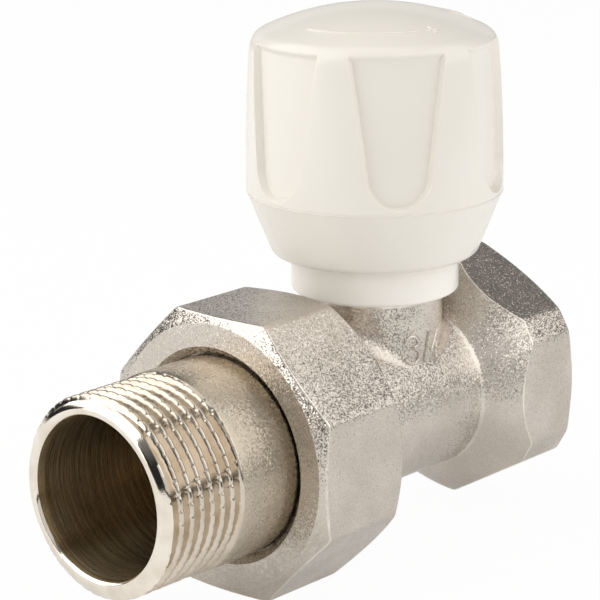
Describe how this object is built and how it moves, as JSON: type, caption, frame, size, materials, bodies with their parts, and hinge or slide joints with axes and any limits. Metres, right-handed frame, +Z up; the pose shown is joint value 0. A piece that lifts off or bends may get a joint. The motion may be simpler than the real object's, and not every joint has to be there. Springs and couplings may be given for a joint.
{
  "type": "manual radiator valve",
  "caption": "Straight nickel-plated radiator valve with a white handwheel on a rising stem, a hexagonal pipe socket and a union nut with a threaded tailpiece.",
  "frame": {"origin": "centre of the pipe socket's mouth, on the pipe's axis", "axes": "+X out of the pipe socket along the pipe, +Z up along the stem, +Y completes the right-handed frame"},
  "size_m": [0.0795, 0.0376, 0.0744],
  "materials": {
    "blasted_nickel": "shot-blasted nickel plate on forged brass",
    "bright_nickel": "turned brass with bright nickel plate",
    "brass": "turned bare brass",
    "white_plastic": "moulded warm white plastic, semi-gloss",
    "rubber": "moulded black rubber",
    "fibre": "pressed fibre",
    "ptfe": "turned white low-friction plastic",
    "steel": "stainless steel"
  },
  "bodies": {
    "valve": {"valve_body": "blasted_nickel", "bonnet": "brass", "bonnet_gasket": "fibre", "stem_washer": "ptfe", "stem_oring_lower": "rubber", "stem_spacer": "brass", "stem_oring_upper": "rubber", "gland_nut": "brass", "bonnet_collar": "white_plastic"},
    "shut_off": {"valve_disc": "brass", "disc_seal": "rubber", "disc_washer": "steel", "disc_screw": "steel", "disc_retainer": "brass"},
    "wheel": {"handwheel": "white_plastic", "wheel_clip": "steel", "stem": "brass"},
    "tail": {"tailpiece": "bright_nickel", "union_oring": "rubber"},
    "nut": {"union_nut": "blasted_nickel"}
  },
  "joints": [
    {"name": "disc_lift", "type": "slide", "parent": "valve", "child": "shut_off", "axis": [0, 0, 1], "range_m": [0, 0.004]},
    {"name": "wheel_turn", "type": "hinge", "parent": "shut_off", "child": "wheel", "pos_m": [-0.0253, 0, 0.03], "axis": [0, 0, 1], "range_deg": [0, 720]},
    {"name": "tail_draw", "type": "slide", "parent": "valve", "child": "tail", "axis": [-1, 0, 0], "range_m": [0, 0.0081]},
    {"name": "nut_turn", "type": "hinge", "parent": "tail", "child": "nut", "pos_m": [-0.05, 0, 0], "axis": [-1, 0, 0], "range_deg": [0, 1260]}
  ],
  "couplings": [
    {"joint": "disc_lift", "follows": "wheel_turn", "m_per_rad": 0.00031831},
    {"joint": "tail_draw", "follows": "nut_turn", "m_per_rad": 0.00036749}
  ]
}
